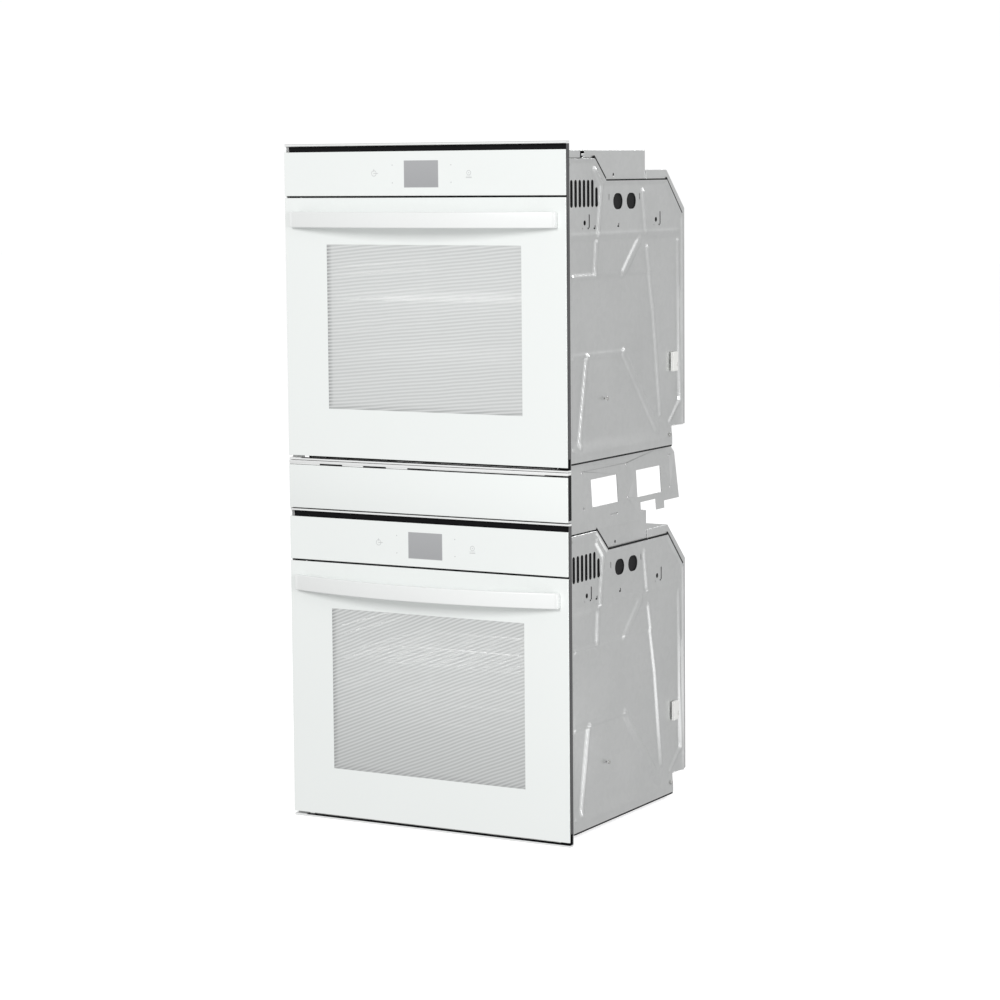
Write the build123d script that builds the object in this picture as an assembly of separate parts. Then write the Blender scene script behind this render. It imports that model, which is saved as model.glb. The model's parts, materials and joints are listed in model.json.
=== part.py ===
from build123d import *
import math
import os

os.makedirs("parts", exist_ok=True)

# Double built-in wall oven: two equal oven units, one above the other, with a trim panel between.
# While a part is drawn, X is across, Y is the depth behind the front glass and Z is the height
# above the unit's door. save() moves it to the row frame, whose origin is at the bottom centre.

# ---- driving dimensions, millimetres ----
front_width = 595.0
unit_pitch = 682.0
door_height = 482.0
control_height = 81.0
panel_gap = 3.5
flange_top = 581.5
flange_drop = 8.5
glass = 3.2
sheet = 1.0

body_half = 271.0
body_depth = 541.0
handle_reach = 49.0
side_front_top = 550.0
side_top = 509.5
side_rear = 522.0
rear_step_z = 36.0
rear_step_y = 480.0
trim_front = 5.5
trim_back = 15.0

cavity_half = 238.0
cavity_floor = 70.0
cavity_roof = 425.0
cavity_front = 43.8
cavity_back = 449.0
frame_y = 42.0

hinge_y = 7.5
hinge_z = 5.0
pin_radius = 2.2
pin_clearance = 0.05

rack_rise = 5.8
rack_pitch = 54.0
rack_levels = (174.0, 174.0 + 2 * rack_pitch)

door_frame_half = 262.0
door_frame_back = 32.0
window_half = 207.0
window_low = 90.0
window_high = 396.0

control_low = door_height + panel_gap
control_top = control_low + control_height
half_width = front_width / 2
lower_base = flange_drop
upper_base = flange_drop + unit_pitch
glass_front_y = -(body_depth + handle_reach) / 2 + handle_reach
top_cover_top = 566.0
top_cover_rear = 373.0

handle_low = 427.5
handle_high = 456.5
handle_half = 281.0
handle_thick = 8.0
handle_foot = 13.0
handle_end = 10.0

fan_z = 247.0
fan_radius = 68.0
ring_radius = 92.0
ring_leg_x = 20.0
ring_leg_z = fan_z - math.sqrt(ring_radius ** 2 - ring_leg_x ** 2)
grill_z = 408.0
lamp_x = -196.0
lamp_z = 385.0

blower_y = 296.0

mid_low = 591.7
mid_high = 673.0
bracket_lean = 3.5

rib_height = 3.0
rib_paths = (
    (((161, 529), (187, 503), (173, 412)), 13),
    (((169, 396), (165, 336)), 15),
    (((355, 488), (367, 413)), 12),
    (((376, 381), (405, 251), (430, 63)), 11),
    (((343, 397), (277, 336)), 18),
    (((281, 193), (417, 32)), 18),
    (((135, 190), (104, 26)), 13),
    (((507, 393), (512, 81), (468, 43)), 9),
)
louver_pitch = 16.2
louver_first = 71.5
louver_width = 10.4


# ---- small drawing helpers ----
def block(x0, x1, y0, y1, z0, z1):
    """A box from its limits."""
    centre = ((x0 + x1) / 2, (y0 + y1) / 2, (z0 + z1) / 2)
    return Pos(*centre) * Box(abs(x1 - x0), abs(y1 - y0), abs(z1 - z0))


def rod_x(radius, x0, x1, y, z):
    return Pos((x0 + x1) / 2, y, z) * Rot(0, 90, 0) * Cylinder(radius, abs(x1 - x0))


def rod_y(radius, y0, y1, x, z):
    return Pos(x, (y0 + y1) / 2, z) * Rot(90, 0, 0) * Cylinder(radius, abs(y1 - y0))


def rod_z(radius, z0, z1, x, y):
    return Pos(x, y, (z0 + z1) / 2) * Cylinder(radius, abs(z1 - z0))


def side_plate(points, x0, x1):
    """A flat plate drawn by its outline in depth and height, between two X planes."""
    face = make_face(Plane.YZ * Polyline(*points, close=True))
    return Pos(x0, 0, 0) * extrude(face, amount=x1 - x0, dir=(1, 0, 0))


def side_slot(y, z0, z1, width):
    """A round-ended upright cutter through a side wall."""
    long = z1 - z0 - width
    middle = (z0 + z1) / 2
    bar = block(200, 300, y - width / 2, y + width / 2, middle - long / 2, middle + long / 2)
    low = rod_x(width / 2, 200, 300, y, middle - long / 2)
    high = rod_x(width / 2, 200, 300, y, middle + long / 2)
    return bar + low + high


def mirrored(shape):
    return mirror(shape, about=Plane.YZ)


def both_sides(shape):
    """A right-hand piece and its mirror image, as two separate solids."""
    return [shape, mirrored(shape)]


def save(name, shapes, base=0.0):
    """Write one node, moved from the drawing position to the row frame."""
    place = Pos(0, glass_front_y, base)
    solids = []
    for shape in (shapes if isinstance(shapes, list) else [shapes]):
        solids.extend((place * shape).solids())
    group = solids[0] if len(solids) == 1 else Compound(children=solids)
    group.label = name
    export_step(group, f"parts/{name}.step")


# ---- chassis sheets of one unit ----
def rib(points, width):
    """A pressed rib on the outer face: straight runs with round ends and sloping flanks."""
    faces = []
    for (y0, z0), (y1, z1) in zip(points, points[1:]):
        run = math.hypot(y1 - y0, z1 - z0)
        turn = math.degrees(math.atan2(z1 - z0, y1 - y0))
        slot = SlotCenterToCenter(run, width)
        faces.append(Pos((y0 + y1) / 2, (z0 + z1) / 2) * Rot(0, 0, turn) * slot)
    solid = None
    for face in faces:
        bar = extrude(Plane.YZ * face, amount=rib_height, taper=35)
        solid = bar if solid is None else solid + bar
    return Pos(body_half, 0, 0) * solid


def side_panel():
    """The right side of the chassis, with its cooling slots, clip holes and pressed ribs."""
    outline = (
        (16, 0), (16, side_front_top), (158, side_front_top), (203, side_top), (454, side_top),
        (side_rear, 441), (side_rear, rear_step_z), (rear_step_y, rear_step_z), (rear_step_y, 0),
    )
    panel = side_plate(outline, body_half - sheet, body_half)
    for points, width in rib_paths:
        panel += rib(points, width)
    panel += side_plate(((74, 12), (74, 17), (452, 17), (452, 12)), body_half, body_half + 1.5)
    for number in range(7):
        top = 512 if number < 6 else 498
        panel -= side_slot(louver_first + number * louver_pitch, 462, top, louver_width)
    for y in (254.5, 309):
        panel -= block(200, 300, y - 4, y + 4, 456.5, 486.5)
        panel -= rod_x(15, 200, 300, y - 4, 471.5)
        panel -= rod_x(15, 200, 300, y + 4, 471.5)
    for y in (218.5, 343):
        panel -= block(200, 300, y - 1, y + 1, 474, 485)
    for y, z in ((122, 434), (412, 435)):
        panel -= rod_x(3.6, 200, 300, y, z)
        panel -= block(200, 300, y + 16, y + 19, z - 9, z + 15)
    for y, z in ((160, 425), (255, 427)):
        panel -= block(200, 300, y - 3, y + 3, z - 3, z + 3)
    panel -= rod_x(2.0, 200, 300, 206.5, 109)
    return panel


def rear_cover():
    """A pressed tray over the back and the rear of the top."""
    seam = side_rear + 0.5
    low = rear_step_z + 0.5
    outer = (
        (374, 510), (374, 528.5), (461, 528.5), (539, 454), (539, low), (seam, low),
        (seam, 441.4), (454.4, 510),
    )
    inner = (
        (375, 505), (375, 527.5), (460.6, 527.5), (538, 453.6), (538, low + sheet), (515, low + sheet),
        (515, 440), (450, 505),
    )
    half = body_half - 1.5
    cover = side_plate(outer, -half, half)
    cover -= side_plate(inner, -half + sheet, half - sheet)
    cover += block(-half, half, rear_step_y + 1.5, 538.5, low, low + sheet)
    for row in (150.0, 330.0):
        for column in range(9):
            x = (column - 4) * 22.0
            cover -= block(x - 2.5, x + 2.5, 530, 545, row, row + 40)
    return cover


def top_cover():
    """The cover of the cooling and electronics space on top of the unit."""
    half = 268.0
    cover = block(-half, half, 20, top_cover_rear, 500, top_cover_top)
    cover -= block(-half + sheet, half - sheet, 10, top_cover_rear - sheet, 490, top_cover_top - sheet)
    for side in (1, -1):
        x0, x1 = side * 260, side * 275
        cover -= block(x0, x1, 112, 116, 547, 564)
        cover -= block(x0, x1, 116, 128, 559, 564)
        cover -= block(x0, x1, 116, 123, 552, 555)
        cover -= block(x0, x1, 240, 245, 518, 523)
    for column in range(10):
        x = (column - 4.5) * 40.0
        cover -= block(x - 14, x + 14, 200, 206, 560, 570)
        cover -= block(x - 14, x + 14, 216, 222, 560, 570)
    return cover


def base_plate():
    """The floor of the chassis, its low rear wall, and the two runners it stands on."""
    half = body_half - 1.5
    plate = block(-half, half, 16, rear_step_y, 0, sheet)
    plate += block(-half, half, rear_step_y - sheet, rear_step_y, 0, rear_step_z)
    for side in (1, -1):
        plate += block(side * 150, side * 205, 60, 450, -flange_drop, sheet)
        plate -= block(side * 151, side * 204, 61, 449, -flange_drop + sheet, sheet)
    for side in (1, -1):
        plate -= block(side * 241, side * 259, 15, 40, -1, 2)
    return plate


def front_frame():
    """The enamelled frame round the cavity mouth, set back behind the door."""
    half = body_half - 1.8
    frame = block(-half, half, 16.5, frame_y + 1.5, 1.2, door_height + 2)
    frame -= block(-half + sheet, half - sheet, 10, frame_y, -5, door_height + 1)
    frame -= block(-cavity_half, cavity_half, 10, 60, cavity_floor, cavity_roof)
    for side in (1, -1):
        frame -= block(side * 243, side * 257, 10, 60, 0, 34)
    return frame


def front_trim():
    """The flange that the cabinet front meets: side plates with lips, a top lip and a bottom lip."""
    plate_y = trim_back - 1.5
    inner = body_half + 0.3
    trim = block(-half_width, half_width, plate_y, trim_back, side_front_top + 10, flange_top)
    trim += block(-half_width, half_width, 1.5, trim_back, flange_top - 4, flange_top)
    trim += block(-half_width, half_width, 1.5, trim_back, -flange_drop, -flange_drop + 3.9)
    for side in (1, -1):
        trim += block(side * inner, side * half_width, plate_y, trim_back, -flange_drop, flange_top)
        trim += block(side * (half_width - 1.5), side * half_width, trim_front, trim_back, 15, flange_top)
    for side in (1, -1):
        for z in (40.0, 530.0):
            trim -= rod_y(2.4, 0, 30, side * 284.0, z)
    return trim


def cavity():
    """The enamelled oven box, open at the front."""
    half = cavity_half
    low = cavity_floor - sheet
    high = cavity_roof + sheet
    box = block(-half - sheet, half + sheet, cavity_front, cavity_back + sheet, low, high)
    box -= block(-half, half, 0, cavity_back, cavity_floor, cavity_roof)
    box -= rod_y(7, cavity_back - 5, cavity_back + 5, 0, fan_z)
    box -= rod_y(17, cavity_back - 5, cavity_back + 5, lamp_x, lamp_z)
    for x in (-ring_leg_x, ring_leg_x):
        box -= rod_y(5, cavity_back - 5, cavity_back + 5, x, ring_leg_z)
        box -= rod_y(5, cavity_back - 5, cavity_back + 5, 4 * x, grill_z)
    return box


def insulation():
    """A mineral wool blanket round the cavity."""
    gap = 0.4
    half = cavity_half + sheet + gap
    wool = block(-262, 262, 60, 468, 48, 450)
    low = cavity_floor - sheet - gap
    high = cavity_roof + sheet + gap
    wool -= block(-half, half, 0, cavity_back + sheet + gap, low, high)
    wool -= rod_y(12, 440, 480, 0, fan_z)
    wool -= rod_y(24, 440, 480, lamp_x, lamp_z)
    for x in (-ring_leg_x, ring_leg_x):
        wool -= rod_y(7, 440, 480, x, ring_leg_z)
        wool -= rod_y(7, 440, 480, 4 * x, grill_z)
    return wool


# ---- heat and air inside the cavity ----
def fan_cover():
    """The perforated baffle in front of the fan and the ring element."""
    half = 150.0
    low, high = fan_z - 128, fan_z + 128
    cover = block(-half, half, 424, cavity_back - 0.3, low, high)
    cover -= block(-half + sheet, half - sheet, 424 + sheet, 460, low + sheet, high - sheet)
    for ring, count in ((16, 6), (32, 12), (48, 18)):
        for number in range(count):
            turn = 2 * math.pi * number / count
            cover -= rod_y(4, 420, 430, ring * math.cos(turn), fan_z + ring * math.sin(turn))
    for side in (1, -1):
        for number in range(6):
            z = fan_z + (number - 2.5) * 36
            cover -= block(side * 130, side * 160, 432, 442, z - 12, z + 12)
    return cover


def convection_fan():
    """A bladed disc on the motor shaft."""
    fan = rod_y(fan_radius, 443.5, 444.5, 0, fan_z) + rod_y(9, 432, 444.5, 0, fan_z)
    fan += rod_y(4, 440, 492, 0, fan_z)
    for number in range(10):
        blade = block(24, fan_radius, 430, 444, -0.6, 0.6)
        fan += Pos(0, 0, fan_z) * Rot(0, number * 36, 0) * blade
    return fan


def ring_element():
    """A round tubular heater with two terminal legs through the back wall."""
    loop = Pos(0, 437, fan_z) * Rot(90, 0, 0) * Torus(ring_radius, 3.4)
    loop -= block(-ring_leg_x, ring_leg_x, 430, 445, fan_z - ring_radius - 12, fan_z - ring_radius + 12)
    for x in (-ring_leg_x, ring_leg_x):
        loop += Pos(x, 437, ring_leg_z) * Sphere(4.3)
        loop += rod_y(3.0, 438, 478, x, ring_leg_z)
    return loop


def grill_element():
    """A serpentine heater below the roof."""
    points = [(-80, 478), (-80, 400), (-190, 400), (-190, 110)]
    for x in (-127, -63, 0, 63, 127):
        high = len(points) % 4 == 0
        near, far = (110, 360) if high else (360, 110)
        points += [(x, near), (x, far)]
    points += [(190, 360), (190, 400), (80, 400), (80, 478)]
    points = [(x, y, grill_z) for x, y in points]
    path = FilletPolyline(*points, radius=14)
    profile = Plane(origin=points[0], z_dir=(0, -1, 0)) * Circle(3.2)
    return sweep(profile, path=path)


def fan_motor():
    body = rod_y(34, 476, 512, 0, fan_z) + rod_y(44, 474, 476, 0, fan_z)
    body += rod_y(12, 512, 520, 0, fan_z)
    return body - rod_y(4 + pin_clearance, 470, 495, 0, fan_z)


def lamp_socket():
    socket = rod_y(21, cavity_back + 1.5, 486, lamp_x, lamp_z) - rod_y(15, 440, 480, lamp_x, lamp_z)
    return socket


def lamp_lens():
    lens = rod_y(24, 441, cavity_back - 0.4, lamp_x, lamp_z)
    lens = fillet(lens.edges().group_by(Axis.Y)[0], 5)
    lens += rod_y(14.5, 446, 476, lamp_x, lamp_z)
    return lens - rod_y(12.5, 444, 474, lamp_x, lamp_z)


def rack_support():
    """The right-hand wire ladder that the racks run in."""
    ladder = None
    for y in (75, 402):
        post = rod_z(2.5, 100, 378, 234.5, y)
        ladder = post if ladder is None else ladder + post
    for step in range(-1, 4):
        level = rack_levels[0] + step * rack_pitch
        for z in (level, level + 16):
            ladder += rod_y(2.5, 64, 412, 228.5, z)
            for y in (75, 402):
                ladder += rod_x(2.0, 228.5, 234.5, y, z)
    return ladder


def rack(level):
    """A wire shelf: frame rods, a lowered front rail, cross bars and fine wires."""
    z = level + rack_rise
    half = 226.5
    shelf = None
    for x in (-half, half):
        rail = rod_y(3, 62, 414, x, z)
        shelf = rail if shelf is None else shelf + rail
    for y in (62, 238, 414):
        shelf += rod_x(3, -half, half, y, z)
    shelf += rod_x(2.5, -214, 214, 62, z - 11)
    for x in (-214, 214):
        shelf += rod_z(2.5, z - 11, z, x, 62)
    for corner_x in (-half, half):
        for corner_y in (62, 414):
            shelf += Pos(corner_x, corner_y, z) * Sphere(3)
    for number in range(17):
        x = (number - 8) * 25.0
        shelf += rod_y(1.6, 62, 414, x, z + 2.4)
    return shelf


def door_gasket():
    """A braided seal round the cavity mouth."""
    outer = block(-252, 252, 36.4, frame_y - 0.1, 56, 439)
    outer = fillet(outer.edges().filter_by(Axis.Y), 22)
    inner = block(-243, 243, 30, 50, 65, 430)
    inner = fillet(inner.edges().filter_by(Axis.Y), 13)
    return outer - inner


# ---- controls and cooling ----
def control_glass():
    return block(-half_width, half_width, 0, glass, control_low, control_top)


def control_module():
    """The carrier plate behind the control glass and the electronics box on it."""
    module = block(-283, 283, glass + 0.2, glass + 2.2, control_low + 4, control_top - 4)
    module += block(-115, 115, glass + 2, 46, control_low + 8, control_top - 8)
    for side in (1, -1):
        module += block(side * 262, side * 265, glass + 2, 30, control_low + 20, control_top - 20)
    return module


def blower_housing():
    """A scroll housing with its outlet duct to the front."""
    low, high = 512.0, 556.0
    shell = rod_z(72, low, high, 0, blower_y) + block(-55, 20, 90, blower_y, low, high)
    hollow = rod_z(71, low + sheet, high - sheet, 0, blower_y)
    hollow += block(-54, 19, 80, blower_y, low + sheet, high - sheet)
    shell -= hollow
    shell -= rod_z(34, high - 3, high + 3, 0, blower_y)
    shell += rod_z(20, low + sheet - 0.2, low + 12, 0, blower_y)
    return shell - rod_z(3 + pin_clearance, low + 4, low + 20, 0, blower_y)


def blower_wheel():
    low, high = 528.0, 552.0
    wheel = rod_z(50, low, low + 1.2, 0, blower_y) + rod_z(10, low, low + 14, 0, blower_y)
    wheel += rod_z(3, 516.2, low + 1, 0, blower_y)
    wheel += rod_z(51, high - 2, high, 0, blower_y) - rod_z(42, high - 3, high + 1, 0, blower_y)
    for number in range(16):
        blade = Rot(0, 0, 30) * block(-4.5, 4.5, -0.5, 0.5, low, high)
        wheel += Pos(0, blower_y, 0) * Rot(0, 0, number * 22.5) * Pos(46, 0, 0) * blade
    return wheel


# ---- door ----
def door_glass():
    return block(-half_width, half_width, 0, glass, 0, door_height)


def door_frame():
    """A pressed steel tray behind the outer glass, with the window through it."""
    half = door_frame_half
    low, high = 10.0, door_height - 6
    wall = 1.2
    rim = window_half + 5
    frame = block(-half, half, glass + 0.3, door_frame_back, low, high)
    frame -= block(-half + wall, half - wall, 0, door_frame_back - wall, low + wall, high - wall)
    well = block(-rim - wall, rim + wall, glass + 0.3, door_frame_back, window_low - 6, window_high + 6)
    well -= block(-rim, rim, 0, 50, window_low - 5, window_high + 5)
    frame -= block(-rim, rim, 0, 50, window_low - 5, window_high + 5)
    frame += well
    for side in (1, -1):
        frame -= block(side * 238, side * 263, 0, door_frame_back - wall, 5, 62)
    return frame


def door_panes():
    """The middle pane inside the door and the inner pane that faces the cavity."""
    middle = block(-window_half, window_half, 16, 19.2, window_low - 2, window_high + 2)
    inner = block(-240, 240, door_frame_back + 0.2, 36, 46, 448)
    return [middle, inner]


def handle():
    """A flat bar bowed away from the door, with a square foot at each end."""
    reach = handle_reach
    inner_half = handle_half - handle_foot
    end = -handle_end
    outer = ThreePointArc((-handle_half, end), (0, -reach), (handle_half, end))
    back = ThreePointArc((inner_half, end - 2), (0, -reach + handle_thick), (-inner_half, end - 2))
    right = Polyline((handle_half, end), (handle_half, -0.15), (inner_half, -0.15), (inner_half, end - 2))
    left = Polyline((-inner_half, end - 2), (-inner_half, -0.15), (-handle_half, -0.15), (-handle_half, end))
    face = make_face(Curve() + [outer, right, back, left])
    bar = Pos(0, 0, handle_low) * extrude(face, amount=handle_high - handle_low)
    front_edges = bar.edges().filter_by(lambda edge: (edge @ 0.5).Y < -reach + 1)
    return fillet(front_edges, 3)


def door_hinge():
    """The door half of the right hinge: a cassette with two ears and the pin."""
    cassette = block(240, 260, 6, 30, 12, 58) - block(242, 258, 8, 28, 10, 56)
    for x0, x1 in ((241.5, 244.4), (255.6, 258.5)):
        cassette += rod_x(3.8, x0, x1, hinge_y, hinge_z)
        cassette += block(x0, x1, hinge_y - 3.8 + 2.3, hinge_y + 3.8, hinge_z, 14)
    return cassette + rod_x(pin_radius, 241.5, 258.5, hinge_y, hinge_z)


def hinge_receiver():
    """The chassis half of the right hinge: a leaf with the pin bore and its box."""
    leaf = rod_x(3.8, 245, 255, hinge_y, hinge_z)
    leaf += block(245, 255, hinge_y, 60, hinge_z - 3.8, hinge_z + 3.8)
    leaf += block(244, 256, 46, 130, 1.2, 30)
    return leaf - rod_x(pin_radius + pin_clearance, 240, 260, hinge_y, hinge_z)


# ---- between the units ----
def mid_panel():
    """The trim panel between the units, as a glass-faced tray with a slotted top lip."""
    low = mid_low - lower_base
    high = mid_high - lower_base
    panel = block(-half_width, half_width, 0, glass, low, high)
    panel += block(-half_width, half_width, glass, trim_back, low + 3, low + 4.5)
    panel += block(-half_width, half_width, 1.5, trim_back, high + 3.2, high + 8.2)
    panel += block(-half_width, half_width, trim_back - 1.5, trim_back, low + 3, high + 8.2)
    panel += block(-half_width, half_width, glass, trim_back, high - 4, high - 2.5)
    for number in range(6):
        x = -205.0 + number * 96.0
        panel -= block(x - 25, x + min(25, half_width - x - 4), 0, 9, high + 4.9, high + 6.5)
    return panel


def link_bracket():
    """The right plate that carries the upper unit on the lower one."""
    outline = (
        (20, -14), (20, 114.6), (452, 114.6), (490, 111), (503, 100), (513, 10),
        (447, 10), (447, -4), (412, -4), (412, 17), (347, 17), (347, -14),
    )
    plate = side_plate(outline, -1.5, 0)
    for y0, y1 in ((152, 256), (336, 438)):
        plate -= block(-10, 10, y0, y1, 28, 79)
    for y, z in ((297, 94), (296, 32), (477, 95), (477, 34), (118, 94), (118, 29)):
        plate -= rod_x(2.2, -10, 10, y, z)
    plate -= block(-10, 10, 222, 250, 6, 9)
    plate += block(-16, -0.5, 20, 440, 113.4, 114.6)
    foot_x = 269.9
    return Pos(foot_x, 0, top_cover_top + 0.2) * Rot(0, -bracket_lean, 0) * plate


# ---- small repeated pieces ----
def side_clip():
    """A moulded cable clip on the side panel."""
    clip = block(body_half + 0.1, body_half + 6, 474, 496, 142, 179)
    clip = fillet(clip.edges().group_by(Axis.X)[-1], 1.5)
    return clip - block(body_half + 3, body_half + 8, 490, 494, 150, 158)


def pan_screw_x(x, y, z):
    head = rod_x(4, x + 0.05, x + 2.2, y, z)
    return fillet(head.edges().group_by(Axis.X)[-1], 0.9)


def pan_screw_y(x, y, z):
    head = rod_y(4, y + 0.05, y + 2.0, x, z)
    return fillet(head.edges().group_by(Axis.Y)[-1], 0.9)


def unit_screws():
    """The visible screw heads of one unit."""
    heads = []
    for y, z in ((206.5, 109), (470, 20), (60, 540)):
        heads += both_sides(pan_screw_x(body_half, y, z))
    for x, z in ((-255, 60), (255, 60), (-255, 420), (255, 420)):
        heads.append(pan_screw_y(x, 539, z))
    return heads


def terminal_box():
    """The mains terminal box in the rear recess."""
    case = block(-205, -125, rear_step_y + 0.2, 530, 3, 34)
    case = fillet(case.edges().filter_by(Axis.Y), 4)
    return case - rod_y(7, 515, 540, -165, 17)


def place_both(shape):
    """The same piece in the lower and the upper unit."""
    upper = []
    lower = []
    for one in (shape if isinstance(shape, list) else [shape]):
        lower.append(Pos(0, 0, lower_base) * one)
        upper.append(Pos(0, 0, upper_base) * one)
    return lower + upper


unit_parts = {
    "side_panel_right": side_panel,
    "side_panel_left": lambda: mirrored(side_panel()),
    "rear_cover": rear_cover,
    "top_cover": top_cover,
    "base_plate": base_plate,
    "front_frame": front_frame,
    "front_trim": front_trim,
    "cavity": cavity,
    "fan_cover": fan_cover,
    "convection_fan": convection_fan,
    "ring_element": ring_element,
    "grill_element": grill_element,
    "rack_supports": lambda: both_sides(rack_support()),
    "rack_low": lambda: rack(rack_levels[0]),
    "rack_high": lambda: rack(rack_levels[1]),
    "control_glass": control_glass,
    "control_module": control_module,
    "blower_housing": blower_housing,
    "blower_wheel": blower_wheel,
    "door_glass": door_glass,
    "door_frame": door_frame,
    "door_panes": door_panes,
    "door_handle": handle,
    "door_hinges": lambda: both_sides(door_hinge()),
    "hinge_receivers": lambda: both_sides(hinge_receiver()),
}

shared_parts = {
    "insulation": insulation,
    "fan_motors": fan_motor,
    "lamp_sockets": lamp_socket,
    "lamp_lenses": lamp_lens,
    "door_gaskets": door_gasket,
    "side_clips": lambda: both_sides(side_clip()),
    "screws": unit_screws,
    "terminal_boxes": terminal_box,
}

for part_name, make in unit_parts.items():
    shape = make()
    save("lower_" + part_name, shape, lower_base)
    save("upper_" + part_name, shape, upper_base)
for part_name, make in shared_parts.items():
    save(part_name, place_both(make()))
save("mid_panel", mid_panel(), lower_base)
save("link_brackets", both_sides(link_bracket()), lower_base)
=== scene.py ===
import json
import math

import bmesh
import bpy
import numpy as np
from mathutils import Matrix, Vector


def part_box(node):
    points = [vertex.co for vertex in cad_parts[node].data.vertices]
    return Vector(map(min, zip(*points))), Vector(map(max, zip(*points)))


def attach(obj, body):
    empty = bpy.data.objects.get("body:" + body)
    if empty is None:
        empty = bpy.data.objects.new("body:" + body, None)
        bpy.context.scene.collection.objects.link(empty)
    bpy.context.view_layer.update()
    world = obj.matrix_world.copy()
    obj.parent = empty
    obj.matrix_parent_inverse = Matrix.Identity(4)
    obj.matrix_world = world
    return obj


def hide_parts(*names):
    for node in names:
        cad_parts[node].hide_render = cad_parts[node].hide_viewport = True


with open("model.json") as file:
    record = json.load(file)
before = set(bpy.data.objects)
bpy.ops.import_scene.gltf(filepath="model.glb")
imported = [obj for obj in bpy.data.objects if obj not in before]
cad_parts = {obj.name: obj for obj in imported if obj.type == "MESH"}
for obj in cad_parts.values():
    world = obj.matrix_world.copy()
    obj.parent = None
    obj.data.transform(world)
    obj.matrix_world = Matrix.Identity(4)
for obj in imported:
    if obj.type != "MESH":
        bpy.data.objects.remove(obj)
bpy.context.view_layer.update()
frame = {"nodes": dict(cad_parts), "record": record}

# The lower and upper oven are the same part, so every piece of a unit is made once per unit name.
units = ("lower", "upper")
mm = 0.001
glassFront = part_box("lower_door_glass")[0].y
unitBase = {unit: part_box(unit + "_door_glass")[0].z for unit in units}


def deselectAll():
    bpy.ops.object.select_all(action="DESELECT")


def makeActive(piece):
    deselectAll()
    piece.select_set(True)
    bpy.context.view_layer.objects.active = piece


def applyAll(piece):
    makeActive(piece)
    bpy.ops.object.transform_apply(location=True, rotation=True, scale=True)


def inFrame(across, depth, height, base):
    # a place given in millimetres: across, behind the front glass, above the unit's door
    return Vector((across * mm, glassFront + depth * mm, base + height * mm))


def addBlock(name, low, high):
    deselectAll()
    bpy.ops.mesh.primitive_cube_add(size=1, location=(low + high) / 2)
    piece = bpy.context.active_object
    piece.name = name
    piece.scale = [abs(a - b) for a, b in zip(low, high)]
    applyAll(piece)
    return piece


def addRod(name, centre, radius, length, turn, sides=24):
    deselectAll()
    bpy.ops.mesh.primitive_cylinder_add(vertices=sides, radius=radius, depth=length, location=centre, rotation=turn)
    piece = bpy.context.active_object
    piece.name = name
    applyAll(piece)
    return piece


def runModifier(piece, kind, **values):
    makeActive(piece)
    modifier = piece.modifiers.new(kind.lower(), kind)
    for key, value in values.items():
        setattr(modifier, key, value)
    bpy.ops.object.modifier_apply(modifier=modifier.name)


def roundEdges(piece, width, segments=3, angle=30):
    runModifier(piece, "BEVEL", width=width, segments=segments, limit_method="ANGLE",
                angle_limit=math.radians(angle), harden_normals=False)


def smoothByAngle(piece, angle=35):
    makeActive(piece)
    bpy.ops.object.shade_smooth_by_angle(angle=math.radians(angle))


def joinPieces(name, pieces):
    deselectAll()
    for piece in pieces:
        piece.select_set(True)
    bpy.context.view_layer.objects.active = pieces[0]
    bpy.ops.object.join()
    pieces[0].name = name
    return pieces[0]


def copyPiece(piece, name, shift=(0, 0, 0), mirrorX=False):
    twin = piece.copy()
    twin.data = piece.data.copy()
    twin.name = name
    bpy.context.scene.collection.objects.link(twin)
    if mirrorX:
        twin.data.transform(Matrix.Scale(-1, 4, (1, 0, 0)))
        twin.data.flip_normals()
    twin.data.transform(Matrix.Translation(shift))
    return twin


def selectInEdit(piece, kind, test):
    # kind is "faces" or "edges"; test is given each one
    makeActive(piece)
    bpy.ops.object.mode_set(mode="EDIT")
    bpy.ops.mesh.select_mode(type="FACE" if kind == "faces" else "EDGE")
    bpy.ops.mesh.select_all(action="DESELECT")
    work = bmesh.from_edit_mesh(piece.data)
    for item in getattr(work, kind):
        if test(item):
            item.select_set(True)
    bmesh.update_edit_mesh(piece.data)


def leaveEdit():
    bpy.ops.object.mode_set(mode="OBJECT")


def finishPiece(piece, body, material, replaced=()):
    piece.data.materials.clear()
    piece.data.materials.append(material)
    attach(piece, body)
    if replaced:
        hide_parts(*replaced)


def newGroup(name, inputs, outputs):
    group = bpy.data.node_groups.new(name, "ShaderNodeTree")
    for label, kind, value in inputs:
        socket = group.interface.new_socket(name=label, in_out="INPUT", socket_type=kind)
        socket.default_value = value
    for label, kind in outputs:
        group.interface.new_socket(name=label, in_out="OUTPUT", socket_type=kind)
    start = group.nodes.new("NodeGroupInput")
    end = group.nodes.new("NodeGroupOutput")
    return group, start, end


def addNode(tree, kind, **values):
    node = tree.nodes.new(kind)
    for key, value in values.items():
        if key in node.inputs:
            node.inputs[key].default_value = value
        else:
            setattr(node, key, value)
    return node


def mathNode(tree, operation, first, second=None, third=None):
    node = tree.nodes.new("ShaderNodeMath")
    node.operation = operation
    for place, value in enumerate((first, second, third)):
        if value is None:
            continue
        if isinstance(value, (int, float)):
            node.inputs[place].default_value = value
        else:
            tree.links.new(value, node.inputs[place])
    return node.outputs[0]


def rampNode(tree, value, stops):
    ramp = tree.nodes.new("ShaderNodeValToRGB")
    while len(ramp.color_ramp.elements) < len(stops):
        ramp.color_ramp.elements.new(0.5)
    for element, (place, tone) in zip(ramp.color_ramp.elements, stops):
        element.position = place
        element.color = (*tone, 1) if isinstance(tone, tuple) else (tone, tone, tone, 1)
    tree.links.new(value, ramp.inputs[0])
    return ramp.outputs[0]


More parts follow.
